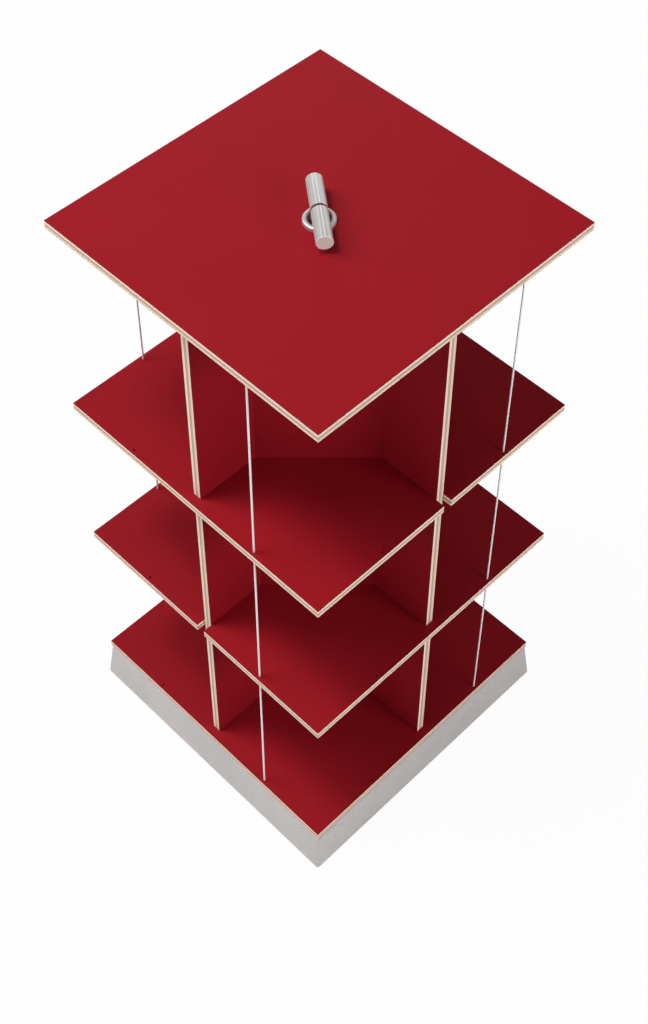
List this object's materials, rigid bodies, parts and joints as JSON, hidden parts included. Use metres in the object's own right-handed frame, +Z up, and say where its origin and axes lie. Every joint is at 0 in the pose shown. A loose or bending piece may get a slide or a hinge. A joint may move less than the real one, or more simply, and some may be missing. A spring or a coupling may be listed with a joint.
{
  "type": "revolving spine bookshelf",
  "caption": "Square revolving book tower: red laminated boards on a hollow spine with divider panels, thin book-stop rods, a cast plinth and a steel bar handle on top.",
  "frame": {"origin": "middle of the plinth underside, on the floor", "axes": "+Z up; the boards' sides lie along X and Y; the compartment corner that faces the usual viewer is at -X -Y"},
  "size_m": [0.5566, 0.5566, 1.1998],
  "materials": {
    "laminated_board": "red laminate faces, bare birch ply edges",
    "laminated_panel": "red laminate faces, bare birch ply edges",
    "cast_concrete": "fair-faced light grey casting",
    "handle_steel": "brushed stainless",
    "rod_steel": "drawn stainless",
    "red_cord": "braided cord",
    "race_steel": "bright zinc plated steel",
    "ball_steel": "polished",
    "cage_plastic": "moulded",
    "screw_steel": "yellow passivated",
    "plug_plastic": "moulded"
  },
  "bodies": {
    "plinth": {"plinth": "cast_concrete", "turntable_lower_race": "race_steel", "lower_race_screws": "screw_steel", "lower_race_plugs": "plug_plastic"},
    "ball_race": {"turntable_ball_cage": "cage_plastic", "turntable_balls": "ball_steel"},
    "tower": {"base_board": "laminated_board", "lower_shelf": "laminated_board", "upper_shelf": "laminated_board", "top_board": "laminated_board", "east_tall_divider": "laminated_panel", "east_top_divider": "laminated_panel", "west_tall_divider": "laminated_panel", "west_top_divider": "laminated_panel", "north_tall_divider": "laminated_panel", "north_low_divider": "laminated_panel", "south_tall_divider": "laminated_panel", "south_low_divider": "laminated_panel", "spine_wall_lower_north_east": "laminated_panel", "spine_wall_lower_north_west": "laminated_panel", "spine_wall_lower_south_west": "laminated_panel", "spine_wall_lower_south_east": "laminated_panel", "spine_wall_middle_north_east": "laminated_panel", "spine_wall_middle_north_west": "laminated_panel", "spine_wall_middle_south_west": "laminated_panel", "spine_wall_middle_south_east": "laminated_panel", "spine_wall_top_north_east": "laminated_panel", "spine_wall_top_north_west": "laminated_panel", "spine_wall_top_south_west": "laminated_panel", "spine_wall_top_south_east": "laminated_panel", "east_stop_rod": "rod_steel", "north_stop_rod": "rod_steel", "west_stop_rod": "rod_steel", "south_stop_rod": "rod_steel", "handle_collar": "handle_steel", "turntable_upper_race": "race_steel", "upper_race_screws": "screw_steel"},
    "handle": {"handle_bar": "handle_steel", "handle_cord": "red_cord", "cord_swivel_disc": "race_steel"}
  },
  "joints": [
    {"name": "tower_turn", "type": "hinge", "parent": "plinth", "child": "tower", "pos_m": [0, 0, 0.08], "axis": [0, 0, 1], "continuous": true},
    {"name": "ball_race_turn", "type": "hinge", "parent": "plinth", "child": "ball_race", "pos_m": [0, 0, 0.08], "axis": [0, 0, 1], "continuous": true},
    {"name": "handle_turn", "type": "hinge", "parent": "tower", "child": "handle", "pos_m": [0, 0, 1.1873], "axis": [0, 0, 1], "range_deg": [-180, 180]}
  ],
  "couplings": [
    {"joint": "ball_race_turn", "follows": "tower_turn", "ratio": 0.5}
  ]
}
